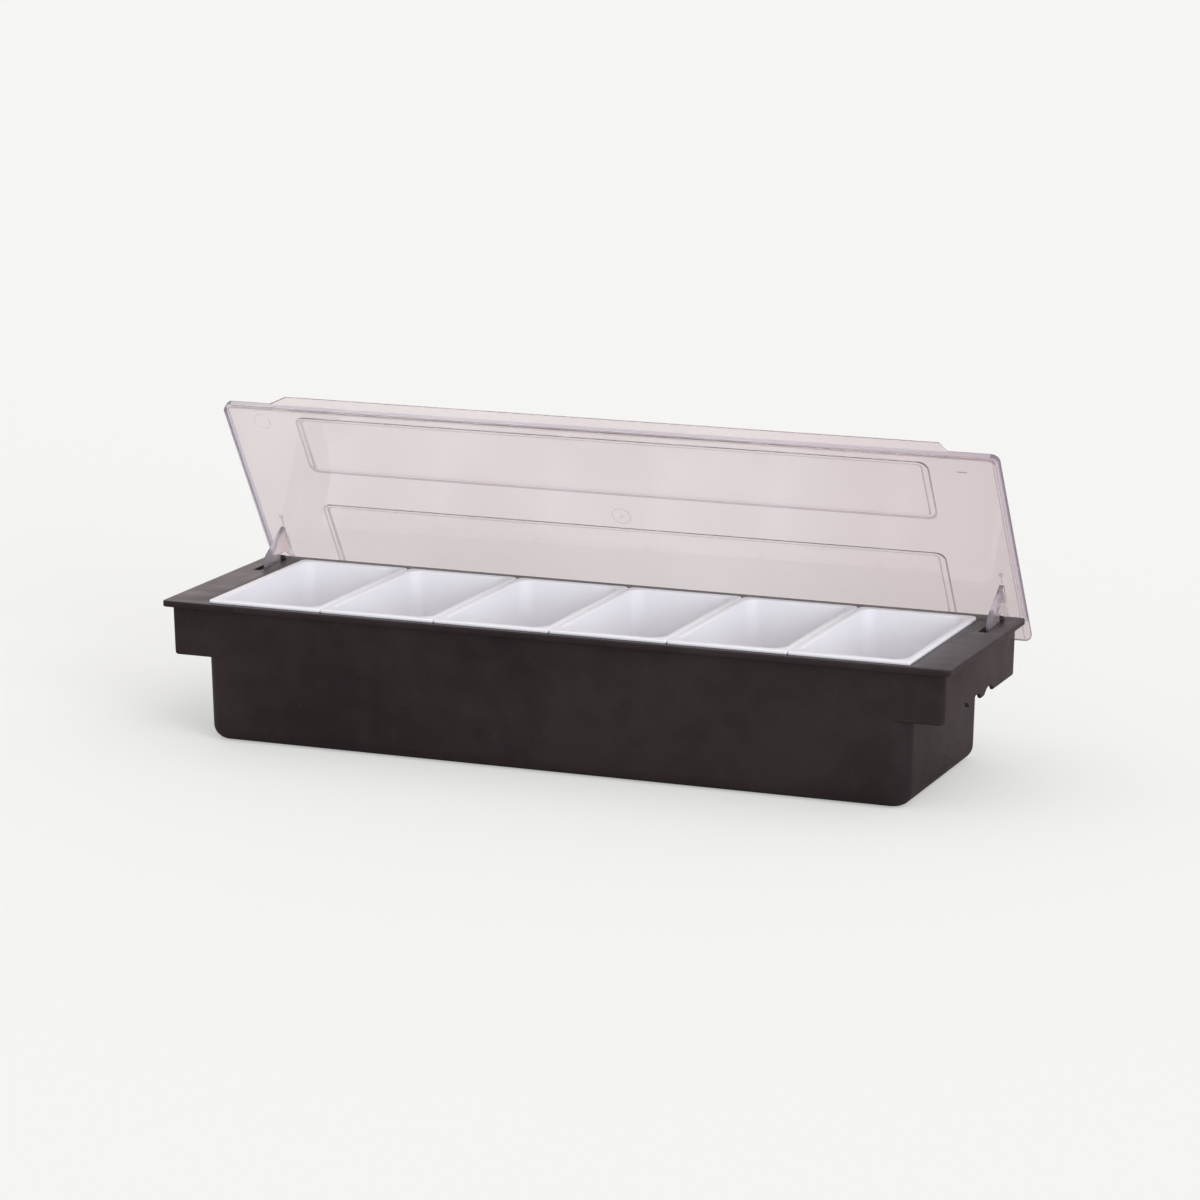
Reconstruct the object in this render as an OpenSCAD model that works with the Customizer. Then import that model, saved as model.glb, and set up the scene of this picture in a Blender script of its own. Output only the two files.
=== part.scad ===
// Bar caddy for garnishes and condiments: a black moulded base with two end wings,
// a row of white lift-out inserts, and one clear lid. The lid swings on two curved
// arms that pass through slots in the wing shelves and clip round bars in the wings.
// Lengths are in millimetres. The base stands on z = 0, centred on x = 0 and y = 0.
// The rear edge is at +y. The lid is drawn at its open stop.

/* [Base] */
// Length of the rim
base_l = 500; // [460:1:540]
// Width of the rim, front to rear
base_w = 150; // [140:1:170]
// Height of the rim above the table
base_h = 86; // [82:1:100]
// Thickness of the rim and of the wing shelves
rim_t = 3.8; // [3.4:0.1:4.2]
// How far the rim stands out past the walls
rim_lip = 4.4; // [4.1:0.1:4.5]
// Corner radius of the rim
rim_r = 3; // [2:0.5:5]
// Wall thickness of the base
wall = 2.5; // [2.2:0.1:2.6]
// Thickness of the tub's floor
floor_t = 3; // [2.5:0.1:4]
// Draft of the base's outer walls, in degrees
base_draft = 1.1; // [0.7:0.1:1.5]
// Upright corner radius of the tub
tub_corner_r = 12; // [11.5:0.5:14]
// Radius where the tub's walls meet its floor
tub_foot_r = 9; // [6:0.5:9]
// Width of the rear band of the rim, behind the inserts
rear_band = 17; // [16:0.5:22]

/* [Wings] */
// Length of each wing, from the rim's end to the tub
wing_l = 25.1; // [25:0.1:28]
// Depth of each wing below the rim's top
wing_h = 34; // [33:0.5:38]
// Corner radius of the wing skirts
wing_r = 3.5; // [3.5:0.5:6]
// Distance between the centres of the finger scallops
scallop_pitch = 24; // [21:0.5:26]
// Position of the middle scallop along the wing
scallop_y = -5.5; // [-12:0.5:4]
// Radius of each scallop
scallop_r = 13; // [12:0.5:16]
// Height of each scallop above the wing's lower edge
scallop_h = 4.8; // [3:0.1:5]

/* [Inserts] */
// Depth of each insert below the rim's top
insert_d = 68; // [50:1:72]
// Thickness of the inserts' flanges
flange_t = 2; // [1.6:0.1:2.4]
// Width of the flange past an insert's side walls
flange_side = 3.1; // [2.6:0.1:3.4]
// Width of the flange past an insert's front and rear walls
flange_end = 3.9; // [3:0.1:4.3]
// Radius of the flanges' front corners
flange_front_r = 1.5; // [1:0.5:5]
// Radius of the flanges' rear corners
flange_rear_r = 4.5; // [3:0.5:7]
// Wall thickness of the inserts
insert_wall = 1.5; // [1.2:0.1:1.8]
// Corner radius of the inserts' bodies
insert_r = 10; // [9.5:0.5:14]
// Radius where an insert's walls meet its floor
insert_foot_r = 6; // [4:0.5:6]
// Draft of the inserts' walls, in degrees
insert_draft = 3; // [1.5:0.1:3.2]

/* [Lid] */
// Thickness of the lid's plate
lid_t = 2; // [1.6:0.1:2.6]
// Height of the skirt round the lid's edge
skirt_h = 3.3; // [3.2:0.1:4]
// Thickness of the skirt
skirt_t = 2; // [1.5:0.1:2.5]
// Corner radius of the lid
lid_r = 5; // [3:0.5:7]
// How far the lid's ends lie inside the rim's ends
lid_inset_x = 0.2; // [0:0.1:1]
// How far the lid's long edges lie inside the rim's edges
lid_inset_y = 1; // [0.8:0.1:1.4]
// Angle from the lid's closed pose to its open stop, in degrees
lid_open = 58.4; // [54:0.2:60]
// Length of the finger lip along the lid's front edge
grip_l = 422; // [300:2:440]
// Height of the finger lip
grip_h = 7; // [4:0.5:9]
// Thickness of the finger lip
grip_t = 2.2; // [1.6:0.1:3]
// Length of each sloping end of the finger lip
grip_end = 8; // [4:0.5:12]
// Length of the two raised panels
panel_l = 410; // [300:2:430]
// Width of the front raised panel
front_panel_w = 45.5; // [40:0.5:50]
// Width of the rear raised panel
rear_panel_w = 53.5; // [40:0.5:54]
// Distance from the lid's front edge to the front panel
front_panel_inset = 9.5; // [8:0.5:12]
// Distance from the lid's rear edge to the rear panel
rear_panel_inset = 13; // [9:0.5:14]
// Height of the raised panels
panel_h = 1; // [0.5:0.1:1.2]
// Slope of the panels' edges, measured across
panel_slope = 0.8; // [0.4:0.1:1.2]
// Distance from a raised panel's edge to the edge of the hollow under it
panel_border = 3.5; // [2:0.1:4]
// Corner radius of the panels
panel_r = 6; // [5.5:0.5:9]

/* [Hinge] */
// Distance of the hinge bars in front of the rim's rear edge
hinge_inset = 12; // [12:0.1:13]
// Depth of the hinge bars below the rim's top
hinge_drop = 21.5; // [21:0.1:22]
// Radius of the hinge bars
bar_r = 2.5; // [2.2:0.1:2.7]
// Wall of the clip round each bar
clip_wall = 1.6; // [1.3:0.1:1.7]
// Width of the clip's mouth
clip_mouth = 4; // [3.4:0.1:4.2]
// Distance of the hinge arms from the rim's ends
arm_inset = 13; // [12:0.1:14]
// Thickness of the hinge arms
arm_t = 3; // [2.4:0.1:3.6]
// Distance of the arms' front edge in front of the hinge axis, with the lid closed
arm_reach = 34; // [33.4:0.1:35]
// Radius of the arms' lower front corner
arm_corner_r = 12; // [6:0.5:12]
// Slope of the arms' lower edge when the lid is closed, in degrees
arm_slope = 12; // [10:0.5:12.5]
// Forward lean of the arms' stop edge when the lid is open, in degrees
stop_lean = 10; // [8:0.5:12]
// Radius of the dome lug behind each slot
lug_r = 2.5; // [2:0.1:2.6]

/* [Clearances] */
// Gap between the inserts' bodies and the opening's front and rear
seat_gap = 1.3; // [0.6:0.1:1.6]
// Gap between the last insert's body and the opening's end
end_gap = 0.5; // [0.4:0.1:1]
// Gap between one insert's flange and the next
insert_gap = 0.3; // [0.3:0.1:0.6]
// Radial gap between each clip and its bar
bar_gap = 0.08; // [0.05:0.01:0.1]
// Gap between the closed lid's skirt and the rim
lid_gap = 0.2; // [0.1:0.05:0.4]
// Gap between the swinging lid's skirt and the rim's rear edge
swing_gap = 0.6; // [0.4:0.1:0.8]
// Gap between the closed lid's arms and the front ends of their slots
slot_front_gap = 1.2; // [0.3:0.1:1.5]
// Gap between the open lid's arms and the rear ends of their slots
slot_rear_gap = 0.35; // [0.3:0.05:0.6]
// Gap between the hinge arms and the sides of their slots
slot_side_gap = 2; // [1:0.1:2.5]

/* [Hidden] */
$fn = 96;
black = [0.09, 0.08, 0.085];

// The number of inserts is fixed, because each one is a node of its own
insert_n = 6;
// Reach of an overlap or of a cut past the faces that it joins or cuts
over = 1;

// Height of the rim's underside, and half sizes of the outer walls at that height
rim_under = base_h - rim_t;
wall_x = base_l / 2 - rim_lip;
wall_y = base_w / 2 - rim_lip;
tub_x = base_l / 2 - wing_l;

// The opening that the inserts hang in
opening_x = tub_x - wall - 0.4;
opening_front = -wall_y + wall + 0.3;
opening_rear = base_w / 2 - rear_band;
opening_r = insert_r - insert_wall / 2;

// The row of inserts is a little longer than the opening, and is pushed to its right end
row_lap = 0.6;
insert_pitch = 2 * (opening_x + row_lap) / insert_n;
flange_w = insert_pitch - insert_gap;
body_x = flange_w / 2 - flange_side;
body_y = (opening_rear - opening_front) / 2 - seat_gap;
insert_y = (opening_rear + opening_front) / 2;
row_shift = opening_x - end_gap - body_x - (insert_n - 1) / 2 * insert_pitch;

// The hinge axis, and the radii about it
pivot_y = base_w / 2 - hinge_inset;
pivot_z = base_h - hinge_drop;
rear_reach = norm([hinge_inset, hinge_drop]);
scoop_r = rear_reach + swing_gap;
arch_r = rear_reach + 2 * swing_gap;
eye_r = bar_r + bar_gap + clip_wall;

// The lid's levels in its closed pose
lid_under = base_h + lid_gap + skirt_h;
lid_x = base_l / 2 - lid_inset_x;
lid_y = base_w / 2 - lid_inset_y;

// The arms
arm_x = base_l / 2 - arm_inset;
arm_top = lid_under - pivot_z;
arm_rear = -sqrt(arch_r * arch_r - pow(arm_top - 1, 2));
stop_a = 90 + stop_lean + lid_open;

// The slots follow the arms
slot_w = arm_t + 2 * slot_side_gap;
slot_rear = pivot_y - (hinge_drop - rim_t) * tan(stop_lean) + slot_rear_gap;
slot_front = pivot_y - arm_reach - slot_front_gap;

// A plate with round corners, centred on z = 0 upward
module round_plate(half_x, half_y, r, h) {
    linear_extrude(h) {
        square([2 * half_x - 2 * r, 2 * half_y], center = true);
        square([2 * half_x, 2 * half_y - 2 * r], center = true);
        for (sx = [-1, 1], sy = [-1, 1])
            translate([sx * (half_x - r), sy * (half_y - r)])
                circle(r);
    }
}

// The upright section of one side of a drafted box, from an inner line at x = 0.
// reach is its width at the top.
module draft_side(reach, depth, edge_r, draft) {
    foot = reach - depth * tan(draft);
    edge_x = foot + edge_r * tan(draft) - edge_r / cos(draft);
    polygon([
        [0, 0], [edge_x, 0],
        [edge_x + edge_r * cos(draft), edge_r * (1 - sin(draft))],
        [reach, depth], [0, depth]
    ]);
    if (edge_r > 0)
        intersection() {
            translate([edge_x, edge_r])
                circle(edge_r);
            square([reach, depth]);
        }
}

// A box with drafted walls, round upright corners and a round lower edge, from z = 0 up.
// Its four corners, four sides and middle meet face to face.
module draft_box(half_x, half_y, corner_r, depth, edge_r, draft) {
    cx = half_x - corner_r;
    cy = half_y - corner_r;
    translate([-cx, -cy, 0])
        cube([2 * cx, 2 * cy, depth]);
    for (s = [0, 1])
        rotate(180 * s) {
            translate([cx, cy, 0])
                rotate_extrude(angle = 90)
                    draft_side(corner_r, depth, edge_r, draft);
            translate([-cx, cy, 0])
                rotate(90)
                    rotate_extrude(angle = 90)
                        draft_side(corner_r, depth, edge_r, draft);
            translate([cx, cy, 0])
                rotate([90, 0, 0])
                    linear_extrude(2 * cy)
                        draft_side(corner_r, depth, edge_r, draft);
            translate([-cx, cy, 0])
                rotate([90, 0, 90])
                    linear_extrude(2 * cx)
                        draft_side(corner_r, depth, edge_r, draft);
        }
}

// A round bar along x
module x_bar(x0, x1, y, z, r) {
    translate([x0, y, z])
        rotate([0, 90, 0])
            cylinder(h = x1 - x0, r = r);
}

module tub_solid() {
    draft_box(tub_x, wall_y, tub_corner_r, rim_under, tub_foot_r, base_draft);
}

module tub() {
    color(black)
        difference() {
            tub_solid();
            translate([0, 0, floor_t])
                draft_box(tub_x - wall, wall_y - wall, tub_corner_r - wall,
                          rim_under - floor_t + over, tub_foot_r - wall, base_draft);
        }
}

// The skirt and hinge bar of one wing: s is -1 for the left one and 1 for the right one
module wing(s) {
    depth = wing_h - rim_t;
    color(black)
        difference() {
            union() {
                difference() {
                    translate([0, 0, rim_under - depth])
                        draft_box(wall_x, wall_y, wing_r, depth, 0, base_draft);
                    translate([0, 0, rim_under - depth - over])
                        draft_box(wall_x - wall, wall_y - wall, wing_r - wall,
                                  depth + 2 * over, 0, base_draft);
                    finger_scallops(s);
                }
                hinge_bar(s);
            }
            tub_solid();
            translate([s > 0 ? -base_l : over - tub_x + tub_corner_r, -base_w, 0])
                cube([base_l + tub_x - tub_corner_r + over, 2 * base_w, base_h]);
        }
}

module rim_opening() {
    translate([0, insert_y, rim_under - over])
        round_plate(opening_x, (opening_rear - opening_front) / 2, opening_r,
                    rim_t + 2 * over);
}

module slots() {
    for (s = [-1, 1])
        translate([s * arm_x - slot_w / 2, slot_front, rim_under - over])
            cube([slot_w, slot_rear - slot_front, rim_t + 2 * over]);
}

module finger_scallops(s) {
    x = s * (wall_x - wall / 2);
    for (i = [-1:1])
        x_bar(x - 2 * wall, x + 2 * wall, scallop_y + i * scallop_pitch,
              base_h - wing_h + scallop_h - scallop_r, scallop_r);
}

module hinge_bar(s) {
    x0 = tub_x - wall - over;
    x1 = wall_x - wall / 2;
    x_bar(s > 0 ? x0 : -x1, s > 0 ? x1 : -x0, pivot_y, pivot_z, bar_r);
}

module rim() {
    color(black) {
        difference() {
            translate([0, 0, rim_under])
                round_plate(base_l / 2, base_w / 2, rim_r, rim_t);
            rim_opening();
            slots();
        }
        for (s = [-1, 1])
            x_bar(s * arm_x - lug_r, s * arm_x + lug_r, pivot_y + 0.4, base_h + 0.3, lug_r);
    }
}

// An insert's flange, with smaller corners in front than behind
module flange() {
    half_x = flange_w / 2;
    half_y = body_y + flange_end;
    front = flange_front_r;
    rear = flange_rear_r;
    linear_extrude(flange_t) {
        polygon([
            [front - half_x, -half_y], [half_x - front, -half_y], [half_x, front - half_y],
            [half_x, half_y - rear], [half_x - rear, half_y], [rear - half_x, half_y],
            [-half_x, half_y - rear], [-half_x, front - half_y]
        ]);
        for (s = [-1, 1]) {
            translate([s * (half_x - front), front - half_y])
                circle(front);
            translate([s * (half_x - rear), half_y - rear])
                circle(rear);
        }
    }
}

module insert(i) {
    color([0.9, 0.9, 0.92])
        translate([row_shift + (i - (insert_n - 1) / 2) * insert_pitch, insert_y, 0])
            difference() {
                union() {
                    translate([0, 0, base_h])
                        flange();
                    translate([0, 0, base_h - insert_d])
                        draft_box(body_x, body_y, insert_r, insert_d + flange_t / 2,
                                  insert_foot_r, insert_draft);
                }
                translate([0, 0, base_h - insert_d + insert_wall])
                    draft_box(body_x - insert_wall, body_y - insert_wall, insert_r - insert_wall,
                              insert_d + flange_t - insert_wall + over,
                              insert_foot_r - insert_wall, insert_draft);
            }
}

// A raised panel on the lid, or the smaller hollow under it
module panel(y, width, inset) {
    half_x = panel_l / 2 - inset;
    half_y = width / 2 - inset;
    r = panel_r - inset;
    cx = half_x - r;
    cy = half_y - r;
    translate([0, y, -over]) {
        for (sx = [-1, 1], sy = [-1, 1])
            translate([sx * cx, sy * cy, 0]) {
                cylinder(h = over, r = r);
                translate([0, 0, over])
                    cylinder(h = panel_h, r1 = r, r2 = r - panel_slope);
            }
        translate([0, cy, 0])
            rotate([90, 0, 0])
                linear_extrude(2 * cy)
                    panel_section(half_x);
        translate([-cx, 0, 0])
            rotate([90, 0, 90])
                linear_extrude(2 * cx)
                    panel_section(half_y);
    }
}

module panel_section(half) {
    polygon([
        [-half, 0], [half, 0], [half, over], [half - panel_slope, over + panel_h],
        [panel_slope - half, over + panel_h], [-half, over]
    ]);
}

module lid_panels(inset) {
    panel(front_panel_inset + front_panel_w / 2 - lid_y, front_panel_w, inset);
    panel(lid_y - rear_panel_inset - rear_panel_w / 2, rear_panel_w, inset);
}

// Turns a part of the closed lid to the open stop
module opened() {
    color([0.86, 0.8, 0.83, 0.4])
        translate([0, pivot_y, pivot_z])
            rotate([-lid_open, 0, 0])
                translate([0, -pivot_y, -pivot_z])
                    children();
}

module lid_skirt() {
    opened()
        difference() {
            translate([0, 0, base_h + lid_gap])
                round_plate(lid_x, lid_y, lid_r, skirt_h);
            translate([0, 0, base_h + lid_gap - over])
                round_plate(lid_x - skirt_t, lid_y - skirt_t, lid_r - skirt_t,
                            skirt_h + 2 * over);
            x_bar(-lid_x - over, lid_x + over, pivot_y, pivot_z, scoop_r);
            translate([-base_l, pivot_y - hinge_inset / 2, base_h])
                cube([2 * base_l, base_w, 2 * skirt_h]);
        }
}

module finger_lip() {
    foot = lid_under + lid_t / 2;
    top = lid_under + lid_t + grip_h;
    translate([0, grip_t - lid_y, 0])
        rotate([90, 0, 0])
            linear_extrude(grip_t)
                polygon([
                    [-grip_l / 2 - grip_end, foot], [grip_l / 2 + grip_end, foot],
                    [grip_l / 2 + grip_end, lid_under + lid_t], [grip_l / 2, top],
                    [-grip_l / 2, top], [-grip_l / 2 - grip_end, lid_under + lid_t]
                ]);
}

// The outline of a hinge arm in the lid's closed pose. The hinge axis is the origin,
// x runs to the rear and y runs up. Its lower front corner is an arc that meets the
// upright front edge and the sloping lower edge.
module arm_outline() {
    down = [sin(arm_slope), -cos(arm_slope)];
    foot = 0.8 * eye_r;
    corner_x = arm_corner_r - arm_reach;
    corner_y = (sin(arm_slope) * corner_x + arm_corner_r - foot) / cos(arm_slope);
    corner = [corner_x, corner_y];
    difference() {
        union() {
            polygon([
                [-arm_reach, arm_top], [arm_rear, arm_top], arm_rear * [1, tan(stop_a)],
                [0, 0], foot * down, corner + arm_corner_r * down, [-arm_reach, corner_y]
            ]);
            translate(corner)
                circle(arm_corner_r);
        }
        intersection() {
            circle(arch_r);
            polygon([
                [0, 0], 2 * arm_reach * [cos(stop_a), sin(stop_a)],
                [-2 * arm_reach, 2 * arm_reach], [2 * arm_reach, 2 * arm_reach],
                [2 * arm_reach, 0]
            ]);
        }
    }
}

// One hinge arm: s is -1 for the left one and 1 for the right one
module arm(s) {
    opened()
        translate([s * arm_x - arm_t / 2, pivot_y, pivot_z])
            rotate([90, 0, 90])
                difference() {
                    union() {
                        linear_extrude(arm_t)
                            arm_outline();
                        cylinder(h = arm_t, r = eye_r);
                    }
                    translate([0, 0, -over])
                        cylinder(h = arm_t + 2 * over, r = bar_r + bar_gap);
                    translate([0, -clip_mouth / 2, -over])
                        cube([2 * eye_r, clip_mouth, arm_t + 2 * over]);
                }
}

// The lid's plate, with its finger lip and two raised panels
module lid() {
    opened()
        difference() {
            union() {
                translate([0, 0, lid_under])
                    round_plate(lid_x, lid_y, lid_r, lid_t);
                finger_lip();
                translate([0, 0, lid_under + lid_t])
                    lid_panels(0);
            }
            translate([0, 0, lid_under])
                lid_panels(panel_border);
        }
}

rim();
tub();
wing(-1);  // wing_left
wing(1);  // wing_right
lid();
lid_skirt();
arm(-1);  // arm_left
arm(1);  // arm_right
insert(0);  // insert_1
insert(1);  // insert_2
insert(2);  // insert_3
insert(3);  // insert_4
insert(4);  // insert_5
insert(5);  // insert_6
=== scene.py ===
"""The looks of a long bar caddy: a black moulded base with two end wings, a row of white
lift-out inserts, and one clear lid that stands open on two curved arms.

Every piece is modelled in the caddy's own frame, in metres: +X right, +Y to the rear, +Z up,
with the tub standing on z = 0. The lid is modelled closed, and then turned to its open stop.
"""

import math

import bmesh
import bpy
from mathutils import Matrix, Vector


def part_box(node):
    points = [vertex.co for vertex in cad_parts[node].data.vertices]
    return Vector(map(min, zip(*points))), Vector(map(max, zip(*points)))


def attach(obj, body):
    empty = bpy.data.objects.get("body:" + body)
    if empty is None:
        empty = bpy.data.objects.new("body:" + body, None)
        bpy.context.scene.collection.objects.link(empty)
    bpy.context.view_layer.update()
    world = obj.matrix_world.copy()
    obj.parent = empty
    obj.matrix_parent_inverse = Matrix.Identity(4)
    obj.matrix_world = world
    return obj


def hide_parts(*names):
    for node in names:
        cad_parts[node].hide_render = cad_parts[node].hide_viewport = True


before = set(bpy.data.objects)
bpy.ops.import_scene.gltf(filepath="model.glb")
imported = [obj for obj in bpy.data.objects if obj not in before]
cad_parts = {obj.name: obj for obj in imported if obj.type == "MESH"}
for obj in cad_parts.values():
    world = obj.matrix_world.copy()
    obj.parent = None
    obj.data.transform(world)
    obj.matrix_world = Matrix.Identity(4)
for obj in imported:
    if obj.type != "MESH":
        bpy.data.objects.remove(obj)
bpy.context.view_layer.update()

MM = 0.001

# Driving sizes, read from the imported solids
RIM_LOW, RIM_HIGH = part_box("rim")
INSERT_LOW, INSERT_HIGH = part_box("insert_1")
LENGTH = RIM_HIGH.x - RIM_LOW.x
WIDTH = RIM_HIGH.y - RIM_LOW.y

# How far a cutter runs past what it cuts, how near two places count as one, and how far out
# a face or an edge counts as proud
OVER = MM
SLACK = 0.02 * MM
PROUD = 0.05 * MM

# How much of a face's normal points up on a flat face, sideways on an arm's flat side, and
# to the front on a face that looks there
FLAT = 0.98
SIDEWAYS = 0.7
FRONTWARD = 0.3

# The rim
FLANGE_T = 2 * MM
RIM_TOP = INSERT_HIGH.z - FLANGE_T
RIM_T = 3.8 * MM
RIM_UNDER = RIM_TOP - RIM_T
RIM_LIP = 4.4 * MM
RIM_R = 3 * MM
RIM_TOP_R = 0.7 * MM
RIM_FOOT_R = 0.8 * MM
HOLE_EDGE_R = 0.35 * MM

# The walls under the rim, which reach a little way into it
WALL = 2.5 * MM
WALL_X = LENGTH / 2 - RIM_LIP
WALL_Y = WIDTH / 2 - RIM_LIP
WALL_TOP = RIM_UNDER + 0.5 * MM
DRAFT = math.radians(1.1)

# The tub
TUB_X = LENGTH / 2 - 25.1 * MM
TUB_FLOOR = 3 * MM
TUB_CORNER_R = 12 * MM
TUB_FOOT_R = 9 * MM

# The wings, a hair proud of the tub's long walls, and the scallops under their end walls
WING_H = 34 * MM
WING_FOOT = RIM_TOP - WING_H
WING_PROUD = 0.02 * MM
WING_CORNER_R = 3.5 * MM
WING_FOOT_R = 1.5 * MM
WING_OVERLAP = 13.2 * MM
SCALLOP_R = 13 * MM
SCALLOP_RISE = 4.8 * MM
SCALLOP_Y = -5.5 * MM
SCALLOP_PITCH = 24 * MM

# The opening, and the inserts that hang in it
LEDGE_SIDE = 0.4 * MM
LEDGE_FRONT = 0.3 * MM
REAR_SHELF = 17 * MM
OPENING_X = TUB_X - WALL - LEDGE_SIDE
OPENING_FRONT = -WALL_Y + WALL + LEDGE_FRONT
OPENING_REAR = WIDTH / 2 - REAR_SHELF
OPENING_R = 9.25 * MM
SEAT_GAP = 1.3 * MM
INSERT_Y = (OPENING_FRONT + OPENING_REAR) / 2
INSERT_WALL = 1.5 * MM
INSERT_DRAFT = math.radians(3)
FLANGE_SIDE = 3.1 * MM
FLANGE_FRONT_R = 1.5 * MM
FLANGE_REAR_R = 4.5 * MM
FLANGE_TOP_R = 0.8 * MM
FLANGE_FOOT_R = 0.3 * MM
BODY_X = (INSERT_HIGH.x - INSERT_LOW.x) / 2 - FLANGE_SIDE
BODY_Y = (OPENING_REAR - OPENING_FRONT) / 2 - SEAT_GAP
BODY_R = 10 * MM
BODY_FOOT_R = 6 * MM
MOUTH_R = 1.2 * MM

# The hinge bars and the dome lugs. The reach is from a bar's middle to the rim's rear top edge
HINGE_INSET = 12 * MM
HINGE_DROP = 21.5 * MM
PIVOT = Vector((0, WIDTH / 2 - HINGE_INSET, RIM_TOP - HINGE_DROP))
REAR_REACH = math.hypot(HINGE_INSET, HINGE_DROP)
SWING_GAP = 0.6 * MM
BAR_R = 2.5 * MM
BAR_ROOT = 2.7 * MM
LUG_R = 2.5 * MM
LUG_DOME_R = 1.2 * MM
LUG_BACK = 0.4 * MM
LUG_LIFT = 0.3 * MM

# The lid's arms, which clip round the bars and arch over that edge, and the slots for them
ARM_X = LENGTH / 2 - 13 * MM
ARM_T = 3 * MM
ARM_FRONT = PIVOT.y - 34 * MM
ARM_SLOPE = math.radians(12)
ARM_CORNER_R = 12 * MM
ARM_EDGE_R = 0.4 * MM
ARCH_R = REAR_REACH + 2 * SWING_GAP
ARCH_FOOT = 4 * MM
BAR_GAP = 0.08 * MM
CLIP_WALL = 1.6 * MM
CLIP_MOUTH = 4 * MM
EYE_R = BAR_R + BAR_GAP + CLIP_WALL
EYE_FOOT = 0.8 * EYE_R
LID_OPEN = math.radians(58.4)
STOP_LEAN = math.radians(10)
SLOT_W = ARM_T + 1.8 * MM
SLOT_FRONT = ARM_FRONT - 1.2 * MM
SLOT_REAR = PIVOT.y - (RIM_UNDER - PIVOT.z) * math.tan(STOP_LEAN) + 0.35 * MM

# The lid, closed
LID_X = LENGTH / 2 - 0.2 * MM
LID_Y = WIDTH / 2 - 1 * MM
LID_FOOT = RIM_TOP + 0.2 * MM
LID_UNDER = LID_FOOT + 3.3 * MM
LID_T = 2 * MM
LID_TOP = LID_UNDER + LID_T
LID_R = 5 * MM
LID_EDGE_R = 0.6 * MM
SKIRT_T = 2 * MM
SKIRT_END = PIVOT.y - HINGE_INSET / 2
SCOOP_R = REAR_REACH + SWING_GAP

# The finger lip along the lid's front edge
LIP_X = 211 * MM
LIP_END = 8 * MM
LIP_H = 7 * MM
LIP_T = 2.2 * MM
LIP_ROOT = 0.8 * MM

# The raised panels, as front and rear borders, and the hollows under them
PANEL_X = 205 * MM
PANELS = ((-64.5 * MM, -19 * MM), (7.5 * MM, 61 * MM))
PANEL_R = 6 * MM
PANEL_RISE = MM
PANEL_SLOPE = 1.4 * MM
PANEL_EDGE_R = 0.25 * MM
HOLLOW_INSET = 3.5 * MM
HOLLOW_SHIFT = 2.3 * MM

# Painted shade lines: along the lid's front, by height, and inside its right end
FRONT_SHADE_BAND = (LID_TOP - 3.7 * MM, LID_TOP - 0.7 * MM)
END_SHADE_LINE = (LID_X - 5.3 * MM, LID_X - 4.5 * MM)

# The marks that moulding leaves on the lid: rings as x, y and radius, a dash as two corners,
# and over each arm a dot with a line
GATE_Y = -2 * MM
GATE_REACH = 8 * MM
RINGS = ((0, GATE_Y, 6 * MM), (0, GATE_Y, MM), (-228 * MM, -59 * MM, 5.5 * MM))
DASH = ((222 * MM, -58.5 * MM), (228 * MM, -57.8 * MM))
DOT_Y = 22 * MM
DOT_R = 1.4 * MM
LINE_T = 0.6 * MM
MARK_LOW, MARK_HIGH = LID_TOP - 0.3 * MM, LID_TOP + 0.3 * MM


# ---------------------------------------------------------------- modelling tools

def deselect():
    bpy.ops.object.select_all(action="DESELECT")


def work_on(piece):
    deselect()
    piece.select_set(True)
    bpy.context.view_layer.objects.active = piece


def settle(piece):
    """Puts a piece's place, turn and scale into its mesh."""
    work_on(piece)
    bpy.ops.object.transform_apply(location=True, rotation=True, scale=True)
    return piece


def new_box(name, low, high):
    """A box between two corners."""
    deselect()
    low, high = Vector(low), Vector(high)
    bpy.ops.mesh.primitive_cube_add(size=1, location=(low + high) / 2)
    piece = bpy.context.active_object
    piece.name = name
    piece.scale = high - low
    return settle(piece)


def new_rod(name, x0, x1, y, z, radius, sides=96):
    """A round rod along X."""
    deselect()
    bpy.ops.mesh.primitive_cylinder_add(vertices=sides, radius=radius, depth=x1 - x0,
                                        location=((x0 + x1) / 2, y, z),
                                        rotation=(0, math.pi / 2, 0))
    piece = bpy.context.active_object
    piece.name = name
    return settle(piece)


def start_editing(piece, kind):
    """Goes into edit mode with nothing selected, and gives the mesh to select in."""
    work_on(piece)
    bpy.ops.object.mode_set(mode="EDIT")
    bpy.ops.mesh.select_mode(type=kind)
    bpy.ops.mesh.select_all(action="DESELECT")
    return bmesh.from_edit_mesh(piece.data)


def done_editing():
    bpy.ops.object.mode_set(mode="OBJECT")


def pick_edges(piece, test):
    """Goes into edit mode with only the edges selected whose two ends pass the test."""
    mesh = start_editing(piece, "EDGE")
    for edge in mesh.edges:
        if test(edge.verts[0].co, edge.verts[1].co):
            edge.select_set(True)
    bmesh.update_edit_mesh(piece.data)


def pick_faces(piece, test):
    """Goes into edit mode with only the faces selected whose middle and normal pass the test."""
    mesh = start_editing(piece, "FACE")
    for face in mesh.faces:
        if test(face.calc_center_median(), face.normal):
            face.select_set(True)
    bmesh.update_edit_mesh(piece.data)


def pick_all(piece):
    pick_faces(piece, lambda middle, normal: True)


def round_edges(piece, test, radius, segments):
    pick_edges(piece, test)
    bpy.ops.mesh.bevel(offset=radius, segments=segments, affect="EDGES", clamp_overlap=True)
    done_editing()


def near(a, b, slack=SLACK):
    return abs(a - b) < slack


def upright(a, b):
    """Is the edge from a to b one of a box's four upright edges?"""
    return abs(a.z - b.z) > abs(a.x - b.x) + abs(a.y - b.y)


def at_height(z):
    """A test for the edges that lie at one height."""
    return lambda a, b: near(a.z, z) and near(b.z, z)


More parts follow.
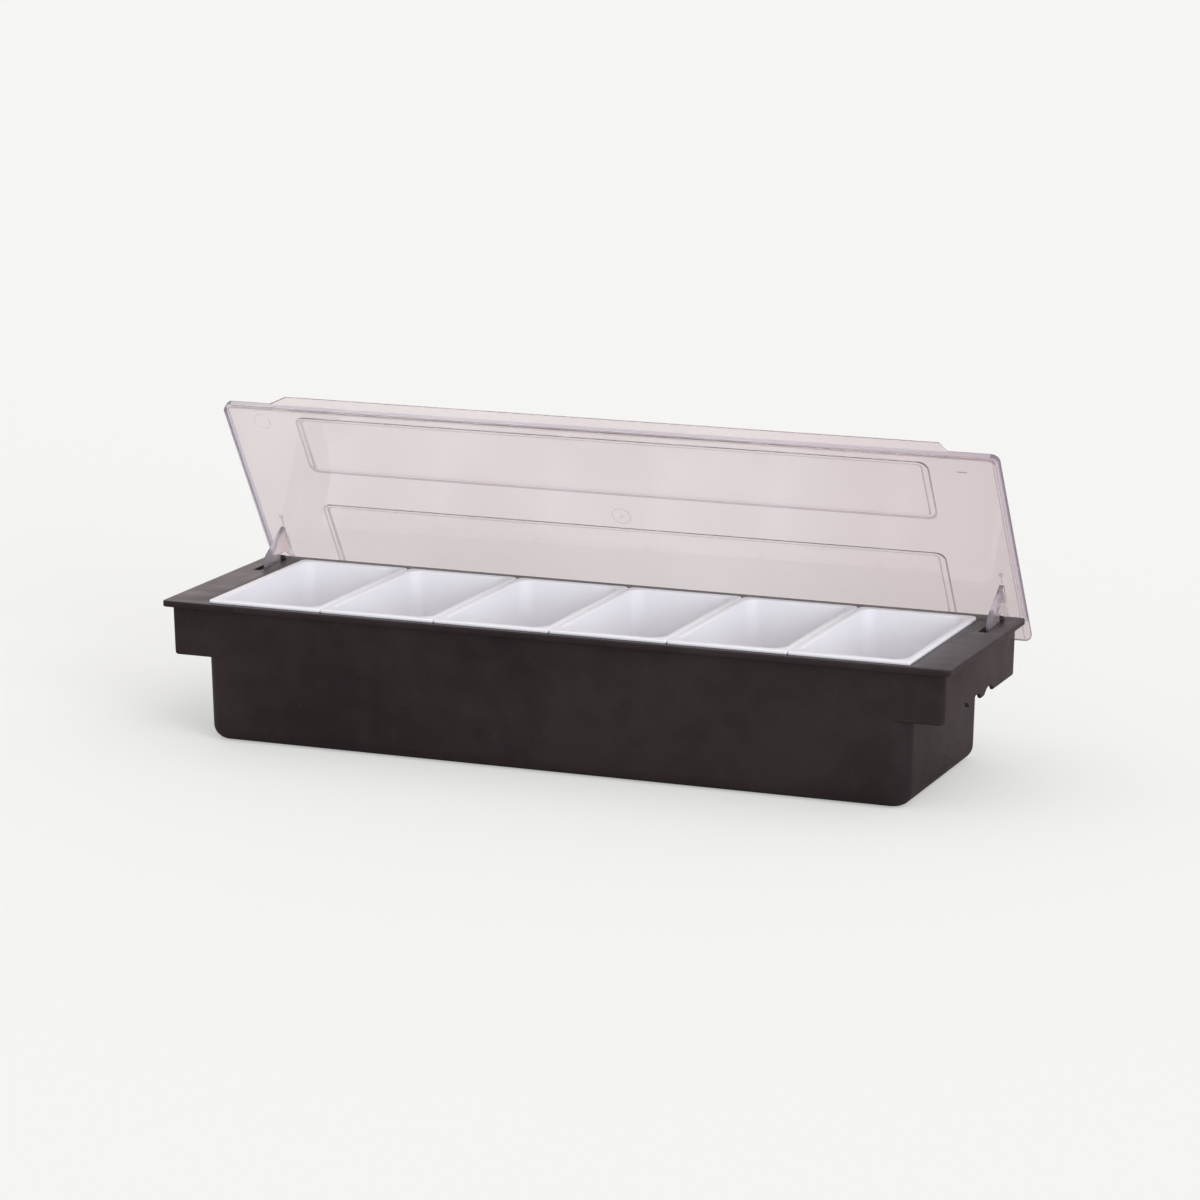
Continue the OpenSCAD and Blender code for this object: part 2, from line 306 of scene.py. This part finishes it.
def scale_face(piece, z, by_x, by_y):
    """Scales the flat face at one height about its own middle."""
    pick_faces(piece, lambda middle, normal: near(middle.z, z) and abs(normal.z) > FLAT)
    bpy.ops.transform.resize(value=(by_x, by_y, 1))
    done_editing()


def trim(piece, point, away):
    """Cuts off what lies beyond a plane, and closes the cut."""
    pick_all(piece)
    bpy.ops.mesh.bisect(plane_co=point, plane_no=away, use_fill=True, clear_outer=True)
    done_editing()


def drafted_box(name, half_x, half_y, bottom, top, corner_r, foot_r, draft, segments):
    """A box whose walls lean in towards its foot, with round corners and a round foot."""
    piece = new_box(name, (-half_x, -half_y, bottom), (half_x, half_y, top))
    inset = (top - bottom) * math.tan(draft)
    scale_face(piece, bottom, 1 - inset / half_x, 1 - inset / half_y)
    round_edges(piece, upright, corner_r, segments)
    if foot_r:
        round_edges(piece, at_height(bottom), foot_r, segments - 2)
    return piece


def plate(name, half_x, half_y, bottom, top, corner_r, top_r=0, foot_r=0, segments=6,
          rear_r=None):
    """A flat plate with round corners, and a small radius round its top and its foot."""
    piece = new_box(name, (-half_x, -half_y, bottom), (half_x, half_y, top))
    for side, radius in ((-1, corner_r), (1, rear_r or corner_r)):
        round_edges(piece, lambda a, b: upright(a, b) and side * a.y > 0, radius, segments)
    if top_r:
        round_edges(piece, at_height(top), top_r, 3)
    if foot_r:
        round_edges(piece, at_height(bottom), foot_r, 2)
    return piece


def move(piece, x=0, y=0):
    piece.location = (x, y, 0)
    return settle(piece)


def combine(piece, operation, others):
    """Cuts the others from the piece, or fuses them into it, and uses them up."""
    for other in others:
        step = piece.modifiers.new(operation.lower(), "BOOLEAN")
        step.operation = operation
        step.solver = "EXACT"
        step.object = other
        work_on(piece)
        bpy.ops.object.modifier_apply(modifier=step.name)
        bpy.data.objects.remove(other)
    return piece


def cut(piece, *cutters):
    return combine(piece, "DIFFERENCE", cutters)


def fuse(piece, *others):
    return combine(piece, "UNION", others)


def join(piece, *others):
    """Puts separate shells into one object."""
    deselect()
    for other in (piece, *others):
        other.select_set(True)
    bpy.context.view_layer.objects.active = piece
    bpy.ops.object.join()
    return piece


def copy_of(piece, name):
    twin = piece.copy()
    twin.data = piece.data.copy()
    twin.name = name
    bpy.context.scene.collection.objects.link(twin)
    return twin


def tidy_mesh(piece, smooth_angle=35):
    """Merges stray doubles, and shades the round parts smooth."""
    work_on(piece)
    bpy.ops.object.mode_set(mode="EDIT")
    bpy.ops.mesh.select_all(action="SELECT")
    bpy.ops.mesh.remove_doubles(threshold=0.001 * MM)
    done_editing()
    bpy.ops.object.shade_smooth_by_angle(angle=math.radians(smooth_angle))


# ---------------------------------------------------------------- the base

def is_hole_edge(a, b):
    """Is the edge from a to b round the top of the inserts' opening or of a slot?"""
    opening = all(abs(end.x) < OPENING_X + OVER
                  and OPENING_FRONT - OVER < end.y < OPENING_REAR + OVER for end in (a, b))
    slot = all(near(abs(end.x), ARM_X, SLOT_W / 2 + PROUD)
               and SLOT_FRONT - OVER < end.y < SLOT_REAR + OVER for end in (a, b))
    return at_height(RIM_TOP)(a, b) and (opening or slot)


def make_rim():
    """The flat rim, with the inserts' opening and a slot in each wing shelf."""
    rim = plate("rim", LENGTH / 2, WIDTH / 2, RIM_UNDER, RIM_TOP, RIM_R,
                top_r=RIM_TOP_R, foot_r=RIM_FOOT_R)
    half_y = (OPENING_REAR - OPENING_FRONT) / 2
    low, high = RIM_UNDER - OVER, RIM_TOP + OVER
    cut(rim, move(plate("opening", OPENING_X, half_y, low, high, OPENING_R), y=INSERT_Y))
    for side in (-1, 1):
        x = side * ARM_X
        cut(rim, new_box("slot", (x - SLOT_W / 2, SLOT_FRONT, low),
                         (x + SLOT_W / 2, SLOT_REAR, high)))
    round_edges(rim, is_hole_edge, HOLE_EDGE_R, 2)
    return rim


def make_tub():
    tub = drafted_box("tub", TUB_X, WALL_Y, 0, WALL_TOP,
                      TUB_CORNER_R, TUB_FOOT_R, DRAFT, segments=12)
    return cut(tub, drafted_box("tub_inside", TUB_X - WALL, WALL_Y - WALL,
                                TUB_FLOOR, WALL_TOP + OVER,
                                TUB_CORNER_R - WALL, TUB_FOOT_R - WALL, DRAFT, segments=10))


def make_wings():
    """The two wing skirts, each with three finger scallops under its end wall."""
    wings = drafted_box("wings", WALL_X, WALL_Y + WING_PROUD, WING_FOOT, WALL_TOP,
                        WING_CORNER_R, WING_FOOT_R, DRAFT, segments=6)
    cut(wings, drafted_box("wings_inside", WALL_X - WALL, WALL_Y - WALL,
                           WING_FOOT - OVER, WALL_TOP + OVER,
                           WING_CORNER_R - WALL, 0, DRAFT, segments=3))
    reach = TUB_X - WING_OVERLAP
    cut(wings, new_box("between", (-reach, -WIDTH, 0), (reach, WIDTH, 2 * RIM_TOP)))
    z = WING_FOOT + SCALLOP_RISE - SCALLOP_R
    for index in (-1, 0, 1):
        y = SCALLOP_Y + index * SCALLOP_PITCH
        for side in (-1, 1):
            x = side * WALL_X
            cut(wings, new_rod("scallop", x - 2 * WALL, x + 2 * WALL, y, z, SCALLOP_R))
    return wings


def make_hinge_bars():
    """The two hinge bars in the wings, and the dome lug behind each slot."""
    pieces = []
    for side in (-1, 1):
        ends = sorted((side * (TUB_X - BAR_ROOT), side * (WALL_X - WALL / 2)))
        pieces.append(new_rod("bar", *ends, PIVOT.y, PIVOT.z, BAR_R, sides=48))
        lug = new_rod("lug", side * ARM_X - LUG_R, side * ARM_X + LUG_R,
                      PIVOT.y + LUG_BACK, RIM_TOP + LUG_LIFT, LUG_R, sides=32)
        round_edges(lug, lambda a, b: near(a.x, b.x), LUG_DOME_R, 4)
        pieces.append(lug)
    return pieces


def make_base():
    base = join(make_rim(), make_tub(), make_wings(), *make_hinge_bars())
    base.name = "base_moulding"
    tidy_mesh(base)
    return base


# ---------------------------------------------------------------- the inserts

def make_insert():
    """One insert at x = 0: a flange and a drafted body with a rolled mouth."""
    flange_x = (INSERT_HIGH.x - INSERT_LOW.x) / 2
    flange_y = (INSERT_HIGH.y - INSERT_LOW.y) / 2
    insert = plate("insert", flange_x, flange_y, RIM_TOP, INSERT_HIGH.z, FLANGE_FRONT_R,
                   top_r=FLANGE_TOP_R, foot_r=FLANGE_FOOT_R, rear_r=FLANGE_REAR_R)
    fuse(insert, drafted_box("insert_body", BODY_X, BODY_Y, INSERT_LOW.z, RIM_TOP + OVER,
                             BODY_R, BODY_FOOT_R, INSERT_DRAFT, segments=10))
    spread = OVER * math.tan(INSERT_DRAFT)
    mouth_x = BODY_X - INSERT_WALL + spread
    mouth_y = BODY_Y - INSERT_WALL + spread
    cut(insert, drafted_box("insert_inside", mouth_x, mouth_y,
                            INSERT_LOW.z + INSERT_WALL, INSERT_HIGH.z + OVER,
                            BODY_R - INSERT_WALL, BODY_FOOT_R - INSERT_WALL,
                            INSERT_DRAFT, segments=10))

    def is_mouth_edge(a, b):
        inside = all(abs(end.x) < mouth_x + PROUD and abs(end.y) < mouth_y + PROUD
                     for end in (a, b))
        return inside and at_height(INSERT_HIGH.z)(a, b)

    round_edges(insert, is_mouth_edge, MOUTH_R, 4)
    tidy_mesh(insert)
    return insert


def make_inserts():
    """Six inserts, each at the place of its own node."""
    first = make_insert()
    inserts = {}
    for number in range(1, 7):
        node = f"insert_{number}"
        low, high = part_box(node)
        piece = copy_of(first, f"{node}_moulding")
        inserts[node] = move(piece, x=(low.x + high.x) / 2, y=(low.y + high.y) / 2)
    bpy.data.objects.remove(first)
    return inserts


# ---------------------------------------------------------------- the lid

def raised_panel(name, front, rear, base_z, inset):
    """A low panel with steep borders, and a footing as deep as its rise to join or cut it by."""
    half_x = PANEL_X - inset
    half_y = (rear - front) / 2 - inset
    panel = plate(name, half_x, half_y, base_z - PANEL_RISE, base_z, PANEL_R - inset, segments=8)
    pick_faces(panel, lambda middle, normal: near(middle.z, base_z) and normal.z > FLAT)
    bpy.ops.mesh.extrude_region_move(TRANSFORM_OT_translate={"value": (0, 0, PANEL_RISE)})
    bpy.ops.transform.resize(value=(1 - PANEL_SLOPE / half_x, 1 - PANEL_SLOPE / half_y, 1))
    done_editing()
    round_edges(panel, at_height(base_z + PANEL_RISE), PANEL_EDGE_R, 2)
    return move(panel, y=(front + rear) / 2)


def make_finger_lip():
    """A thin upright lip with sloping ends, rooted in the lid's front edge."""
    top = LID_TOP + LIP_H
    foot_x = LIP_X + LIP_END
    lip = new_box("finger_lip", (-foot_x, -LID_Y, LID_TOP - LIP_ROOT),
                  (foot_x, LIP_T - LID_Y, top))
    scale_face(lip, top, LIP_X / foot_x, 1)
    round_edges(lip, at_height(top), LID_EDGE_R, 3)
    return lip


def make_lid_shell():
    """The plate with its skirt, two raised panels and the finger lip."""
    lid = plate("lid", LID_X, LID_Y, LID_FOOT, LID_TOP, LID_R, top_r=LID_EDGE_R)
    cut(lid, plate("lid_inside", LID_X - SKIRT_T, LID_Y - SKIRT_T,
                   LID_FOOT - OVER, LID_UNDER, LID_R - SKIRT_T))
    scoop = new_rod("scoop", -LID_X - OVER, LID_X + OVER, PIVOT.y, PIVOT.z, SCOOP_R, sides=128)
    cut(scoop, new_box("above", (-LENGTH, 0, LID_UNDER), (LENGTH, LENGTH, LENGTH)))
    cut(lid, scoop, new_box("open_rear", (-LENGTH, SKIRT_END, LID_FOOT - OVER),
                            (LENGTH, WIDTH, LID_UNDER)))
    for front, rear in PANELS:
        fuse(lid, raised_panel("panel", front, rear, LID_TOP, 0))
        cut(lid, raised_panel("hollow", front - HOLLOW_SHIFT, rear, LID_UNDER, HOLLOW_INSET))
    fuse(lid, make_finger_lip())
    seams = [((0, 0, z), (0, 0, 1)) for z in FRONT_SHADE_BAND]
    seams += [((x, 0, 0), (1, 0, 0)) for x in END_SHADE_LINE]
    for point, across in seams:
        pick_all(lid)
        bpy.ops.mesh.bisect(plane_co=point, plane_no=across)
        done_editing()
    return lid


def make_arm(side):
    """One curved arm with its open clip, at one end of the closed lid."""
    x0 = side * ARM_X - ARM_T / 2
    x1 = x0 + ARM_T
    top = LID_UNDER + OVER
    arm = new_box("arm", (x0, ARM_FRONT, PIVOT.z - 3 * EYE_R), (x1, PIVOT.y, top))
    down = Vector((0, math.sin(ARM_SLOPE), -math.cos(ARM_SLOPE)))
    trim(arm, PIVOT + EYE_FOOT * down, down)

    def is_low_corner(a, b):
        in_front = near(a.y, ARM_FRONT) and near(b.y, ARM_FRONT)
        return in_front and near(a.z, b.z) and a.z < PIVOT.z

    def is_free_edge(a, b):
        at_pivot = near(a.y, PIVOT.y) and near(b.y, PIVOT.y)
        return near(a.x, b.x) and not at_pivot and not at_height(top)(a, b)

    # A bevel across a leaning corner is as long as the radius times this tangent
    lean = math.tan((math.pi / 2 - ARM_SLOPE) / 2)
    round_edges(arm, is_low_corner, ARM_CORNER_R * lean, 16)
    round_edges(arm, is_free_edge, ARM_EDGE_R, 2)
    low_x, high_x = x0 - OVER, x1 + OVER
    arch = new_rod("arch", low_x, high_x, PIVOT.y, PIVOT.z, ARCH_R, sides=160)
    stop = math.pi / 2 + STOP_LEAN + LID_OPEN
    trim(arch, PIVOT, (0, -math.sin(stop), math.cos(stop)))
    rear = PIVOT.y - math.sqrt(ARCH_R**2 - (LID_UNDER - OVER - PIVOT.z)**2)
    cut(arm, arch, new_box("rear", (low_x, rear, PIVOT.z + ARCH_FOOT),
                           (high_x, PIVOT.y + OVER, LENGTH)))
    fuse(arm, new_rod("eye", x0, x1, PIVOT.y, PIVOT.z, EYE_R, sides=64))
    return cut(arm, new_rod("bore", low_x, high_x, PIVOT.y, PIVOT.z, BAR_R + BAR_GAP, sides=48),
               new_box("mouth", (low_x, PIVOT.y, PIVOT.z - CLIP_MOUTH / 2),
                       (high_x, PIVOT.y + 2 * EYE_R, PIVOT.z + CLIP_MOUTH / 2)))


def make_gate_marks():
    """Small marks that moulding leaves on the lid's outer face."""
    marks = []
    for x, y, radius in RINGS:
        deselect()
        bpy.ops.mesh.primitive_torus_add(location=(x, y, LID_TOP), major_radius=radius,
                                         minor_radius=0.18 * MM, major_segments=48,
                                         minor_segments=8)
        marks.append(settle(bpy.context.active_object))
    low, high = DASH
    marks.append(new_box("dash", (*low, MARK_LOW), (*high, MARK_HIGH)))
    for side in (-1, 1):
        x = side * ARM_X
        deselect()
        bpy.ops.mesh.primitive_cylinder_add(vertices=32, radius=DOT_R,
                                            depth=MARK_HIGH - MARK_LOW,
                                            location=(x, DOT_Y, LID_TOP))
        dot = settle(bpy.context.active_object)
        marks.append(fuse(dot, new_box("line", (x - LINE_T / 2, DOT_Y, MARK_LOW),
                                       (x + LINE_T / 2, ARM_FRONT, MARK_HIGH))))
    return marks


def in_arm(middle):
    return near(abs(middle.x), ARM_X, ARM_T) and middle.z < LID_UNDER - SLACK


def is_mark(middle):
    """Does a proud face on the closed lid belong to a dot with its line, the gate or the dash?"""
    x, y, z = middle
    dot = near(abs(x), ARM_X, 2 * DOT_R) and DOT_Y - 2 * DOT_R < y < ARM_FRONT + OVER
    gate = abs(x) < GATE_REACH and near(y, GATE_Y, GATE_REACH)
    dash = x > DASH[0][0] - OVER and DASH[0][1] - OVER < y < DASH[1][1] + OVER
    return z > LID_TOP + PROUD and (dot or gate or dash)


def is_painted_shade_line(middle, normal):
    """Is a face of the closed lid painted as a dark line of painted shade: a mark, the end's line,
    or a panel's steep border? A hollow's front border is left plain."""
    x, y, z = middle
    end_shade_line = END_SHADE_LINE[0] < x < END_SHADE_LINE[1] and near(z, LID_TOP)
    in_panel = abs(x) < PANEL_X + OVER and any(
        front - OVER < y < rear + OVER for front, rear in PANELS)
    hollow_front = z < LID_TOP and normal.y < -FRONTWARD
    border = in_panel and abs(normal.z) < FLAT and not hollow_front and any(
        base + SLACK < z < base + PANEL_RISE for base in (LID_UNDER, LID_TOP))
    return is_mark(middle) or end_shade_line or border


def is_painted_light_edge(middle, normal):
    """Does a face of the closed lid belong to the edge of its ends, or an arm's thin side? These
    are painted a milky lavender as painted light.
    """
    if in_arm(middle):
        return abs(normal.x) < SIDEWAYS
    outer = abs(middle.x) > LID_X - LID_R or middle.y > LID_Y - OVER
    steep = abs(normal.z) < FLAT or middle.z < LID_FOOT + PROUD
    return outer and steep and middle.z < LID_TOP + SLACK


def is_thin(middle, normal):
    """Does a face of the closed lid belong to its front skirt, or an arm's flat side?"""
    if in_arm(middle):
        return abs(normal.x) >= SIDEWAYS
    front = middle.y < LID_R - LID_Y and abs(middle.x) <= LID_X - LID_R
    return front and middle.z < FRONT_SHADE_BAND[0] and not near(middle.z, LID_UNDER)


def is_painted_shade_front(middle, normal):
    """Does a face of the closed lid belong to the band along its front that is painted a darker
    mauve as painted shade?
    """
    front = middle.y < LID_EDGE_R + PROUD - LID_Y and normal.y < -FRONTWARD
    return (front and abs(middle.x) <= LID_X - LID_R
            and FRONT_SHADE_BAND[0] < middle.z < FRONT_SHADE_BAND[1])


def paint_faces(piece, index, test):
    """Gives another of the piece's finishes to the faces whose middle and normal pass the test."""
    for face in piece.data.polygons:
        if test(face.center, face.normal):
            face.material_index = index


def make_lid():
    """The lid, painted face by face in the order of lid_finishes, and turned to its open stop."""
    lid = make_lid_shell()
    fuse(lid, make_arm(-1), make_arm(1), *make_gate_marks())
    lid.name = "lid_moulding"
    # Painted shade lines, painted light on the end edges and the arms' thin sides, the thin faces,
    # and a band of painted shade along the front
    for index, test in enumerate((is_painted_shade_line, is_painted_light_edge, is_thin, is_painted_shade_front), 1):
        paint_faces(lid, index, test)
    lid.matrix_world = (Matrix.Translation(PIVOT) @ Matrix.Rotation(-LID_OPEN, 4, "X")
                        @ Matrix.Translation(-PIVOT))
    tidy_mesh(settle(lid), smooth_angle=25)
    return lid


# ---------------------------------------------------------------- finishes

class Value:
    """A socket in a finish, so that shader maths is written as plain sums."""

    def __init__(self, finish, socket):
        self.finish = finish
        self.socket = socket

    def maths(self, operation, other):
        return self.finish.node("ShaderNodeMath", {"operation": operation}, {0: self, 1: other})

    def __add__(self, other):
        return self.maths("ADD", other)

    def __mul__(self, other):
        return self.maths("MULTIPLY", other)

    __radd__ = __add__
    __rmul__ = __mul__


class Finish:
    """The nodes of a material or of the world, and the few calls that build them."""

    def __init__(self, owner, shader="Principled BSDF"):
        self.owner = owner
        owner.use_nodes = True
        self.tree = owner.node_tree
        self.shader = self.tree.nodes[shader]

    def put(self, socket, value):
        if isinstance(value, Value):
            self.tree.links.new(value.socket, socket)
        else:
            socket.default_value = value

    def set(self, **sockets):
        """Sets or links the shader's own sockets, with a low line for each space in a name."""
        for key, value in sockets.items():
            self.put(self.shader.inputs[key.replace("_", " ")], value)

    def node(self, kind, settings, sockets, output=0):
        """Adds a node with its settings and its sockets' values or links."""
        made = self.tree.nodes.new(kind)
        for key, value in settings.items():
            if key == "stops":
                for stop, (place, colour) in zip(made.color_ramp.elements, value):
                    stop.position = place
                    stop.color = colour
            else:
                setattr(made, key, value)
        for key, value in sockets.items():
            self.put(made.inputs[key], value)
        return Value(self, made.outputs[output])

    def place(self):
        """The place on the piece, in metres in the caddy's frame."""
        return self.node("ShaderNodeTexCoord", {}, {}, "Object")

    def noise(self, scale, detail=3, rough=0.5, stretch=(1, 1, 1)):
        spot = self.node("ShaderNodeMapping", {}, {"Vector": self.place(), "Scale": stretch})
        return self.node("ShaderNodeTexNoise", {},
                         {"Vector": spot, "Scale": scale, "Detail": detail, "Roughness": rough})

    def ramp(self, value, low, high):
        """0 below low, 1 above high."""
        stops = ((low, (0, 0, 0, 1)), (high, (1, 1, 1, 1)))
        return self.node("ShaderNodeValToRGB", {"stops": stops}, {"Fac": value})

    def mix(self, factor, a, b):
        """Colour a where the factor is 0, and b where it is 1."""
        a, b = (value if isinstance(value, Value) else (*value, 1) for value in (a, b))
        return self.node("ShaderNodeMix", {"data_type": "RGBA"}, {0: factor, 6: a, 7: b}, 2)

    def bump(self, height, strength, distance):
        return self.node("ShaderNodeBump", {}, {"Height": height, "Strength": strength,
                                                "Distance": distance})

    def clamped(self, operation, a, b):
        """A sum or difference that is kept between 0 and 1."""
        return self.node("ShaderNodeMath", {"operation": operation, "use_clamp": True},
                         {0: a, 1: b})

    def rays(self, kind):
        return self.node("ShaderNodeLightPath", {}, {}, kind)

    def mirrored(self):
        """1 where a surface mirrors this, and 0 where it is seen straight or through a lid."""
        return self.clamped("SUBTRACT", self.rays("Is Glossy Ray"),
                            self.rays("Is Transmission Ray"))


def new_finish(name):
    return Finish(bpy.data.materials.new(name))


def black_plastic():
    """Black moulded plastic with a fine satin spark texture and faint rubbed streaks."""
    finish = new_finish("black_satin_plastic")
    cloud = finish.ramp(0.7 * finish.noise(9) + 0.3 * finish.noise(70), 0.38, 0.62)
    streaks = finish.ramp(finish.noise(60, detail=4, rough=0.6, stretch=(0.12, 1, 1)), 0.35, 0.7)
    dust = finish.ramp(finish.noise(700, detail=1, rough=0.3), 0.7, 0.78)
    clean = finish.mix(cloud, (0.0178, 0.0123, 0.013), (0.0282, 0.02, 0.0207))
    grain = finish.noise(1500, detail=2, rough=0.6)
    finish.set(Base_Color=finish.mix(0.2 * dust, clean, (0.07, 0.058, 0.06)),
               Roughness=0.22 + 0.06 * cloud + 0.1 * streaks,
               Normal=finish.bump(grain, strength=0.2, distance=0.1 * MM),
               IOR=1.3)
    return finish.owner


def white_plastic():
    """Glossy white moulded plastic, with the slight waviness of a thin wall."""
    finish = new_finish("white_gloss_plastic")
    cloud = finish.noise(25, detail=2)
    wave = finish.noise(40, detail=1)
    finish.set(Base_Color=finish.mix(cloud, (0.828, 0.812, 0.842), (0.856, 0.84, 0.866)),
               Roughness=0.34 + 0.08 * finish.noise(180),
               Normal=finish.bump(wave, strength=0.08, distance=MM),
               Coat_Weight=0.15,
               Coat_Roughness=0.12)
    return finish.owner


def clear_plastic(name, low, high, rub, clearness, ior):
    """Clear moulded plastic between two tinges, painted darker to the right as painted shade, and
    very finely rubbed.
    """
    finish = new_finish(name)
    rubbed = finish.ramp(finish.noise(90, detail=4, rough=0.65, stretch=(0.2, 1, 1)), 0.45, 0.75)
    cloud = finish.ramp(finish.noise(8, detail=2), 0.35, 0.65)
    across = finish.node("ShaderNodeSeparateXYZ", {}, {"Vector": finish.place()})
    # Painted shade: the tinge darkens towards the right
    shade_to_right = finish.ramp(across, 100 * MM, 270 * MM)
    shaded_tinge = tuple(part * share for part, share in zip(low, (0.9, 0.87, 0.87)))
    wave = finish.noise(18, detail=1)
    finish.set(Base_Color=finish.mix(shade_to_right, finish.mix(cloud, low, high), shaded_tinge),
               Roughness=rub + 0.05 * rubbed,
               Normal=finish.bump(wave, strength=0.05, distance=MM),
               Transmission_Weight=clearness,
               IOR=ior)
    return finish.owner


def lid_finishes():
    """The lid's faces, dark lines of painted shade, end edges lit with painted light, thin skirt,
    and a band of painted shade along its front.
    """
    pink, pale_pink = (0.865, 0.79, 0.797), (0.915, 0.845, 0.85)
    return (clear_plastic("clear_pink_plastic", pink, pale_pink,
                          rub=0.015, clearness=0.9, ior=1.44),
            # Painted shade: darker mauve lines on the marks, the right end and the panel borders
            clear_plastic("clear_painted_shade_lines", (0.56, 0.46, 0.5), (0.66, 0.56, 0.6),
                          rub=0.12, clearness=0.8, ior=1.25),
            # Painted light: a milky lavender on the end edges and the arms' thin sides
            clear_plastic("clear_painted_light_edge", (0.68, 0.61, 0.69), (0.78, 0.71, 0.79),
                          rub=0.08, clearness=0.75, ior=1.3),
            clear_plastic("clear_thin_plastic", pink, pale_pink,
                          rub=0.015, clearness=0.85, ior=1.12),
            # Painted shade: a darker mauve band along the front
            clear_plastic("clear_painted_shade_front", (0.68, 0.61, 0.65), (0.76, 0.69, 0.73),
                          rub=0.1, clearness=0.3, ior=1.25))


def pale_floor():
    """A white floor with a light shadow, darker and warmer where the plastics mirror it."""
    finish = new_finish("pale_floor")
    seen = finish.clamped("ADD", finish.rays("Is Camera Ray"),
                          finish.rays("Is Transmission Ray"))
    lit = finish.mix(finish.noise(3, detail=2), (0.895, 0.895, 0.875), (0.905, 0.905, 0.885))
    unseen = finish.mix(finish.mirrored(), lit, (0.31, 0.26, 0.26))
    finish.set(Base_Color=finish.mix(seen, unseen, (0.53, 0.53, 0.52)),
               Emission_Color=finish.mix(seen, (0, 0, 0), (0.372, 0.37, 0.362)),
               Emission_Strength=1,
               Roughness=0.9,
               Specular_IOR_Level=0.1)
    return finish.owner


def dress(piece, finishes, body, slot, *nodes):
    """Gives a piece its finishes and its body, and hides the nodes it stands in for. The slot is
    not used.
    """
    for material in finishes:
        piece.data.materials.append(material)
    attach(piece, body)
    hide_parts(*nodes)


# ---------------------------------------------------------------- the studio

def make_floor():
    deselect()
    bpy.ops.mesh.primitive_plane_add(size=60, location=(0, 0, 0))
    floor = bpy.context.active_object
    floor.name = "floor"
    floor.data.materials.append(pale_floor())


def make_sun(name, strength, azimuth, height, softness, colour, mirrored):
    """A soft distant lamp. azimuth is where it stands, from the front towards the right.

    A lamp that isn't mirrored leaves no glare on the closed lid.
    """
    lamp = bpy.data.lights.new(name, "SUN")
    lamp.energy = strength
    lamp.color = colour
    lamp.angle = math.radians(softness)
    sun = bpy.data.objects.new(name, lamp)
    sun.rotation_euler = (math.radians(90 - height), 0, math.radians(azimuth))
    sun.visible_glossy = mirrored
    bpy.context.scene.collection.objects.link(sun)


def make_world():
    """An even white room, a little warmer where the plastics mirror it."""
    world = bpy.data.worlds.new("studio")
    bpy.context.scene.world = world
    room = Finish(world, "Background")
    room.set(Color=room.mix(room.mirrored(), (0.98, 0.98, 1), (1, 0.88, 0.88)), Strength=0.85)


def make_camera():
    """The photograph's viewpoint, right of the front and a little above the rim."""
    lens = bpy.data.cameras.new("camera")
    lens.sensor_width = 36
    lens.lens = 129.7
    lens.clip_end = 100
    camera = bpy.data.objects.new("camera", lens)
    camera.location = (0.958, -2.350, 0.644)
    camera.rotation_euler = (math.radians(77.72), 0, math.radians(22.04))
    bpy.context.scene.collection.objects.link(camera)
    bpy.context.scene.camera = camera


def main():
    deselect()
    dress(make_base(), [black_plastic()], "base", "base_plastic",
          "rim", "tub", "wing_left", "wing_right")
    white = white_plastic()
    for node, piece in make_inserts().items():
        dress(piece, [white], node, "insert_plastic", node)
    dress(make_lid(), lid_finishes(), "lid", "lid_plastic",
          "lid", "lid_skirt", "arm_left", "arm_right")
    make_floor()
    make_sun("key", strength=0.4, azimuth=60, height=50, softness=40,
             colour=(1, 0.94, 0.87), mirrored=True)
    make_sun("edge", strength=1.35, azimuth=55, height=14, softness=30,
             colour=(0.84, 0.91, 1), mirrored=False)
    make_world()
    make_camera()
    bpy.context.scene.view_settings.view_transform = "Standard"


main()
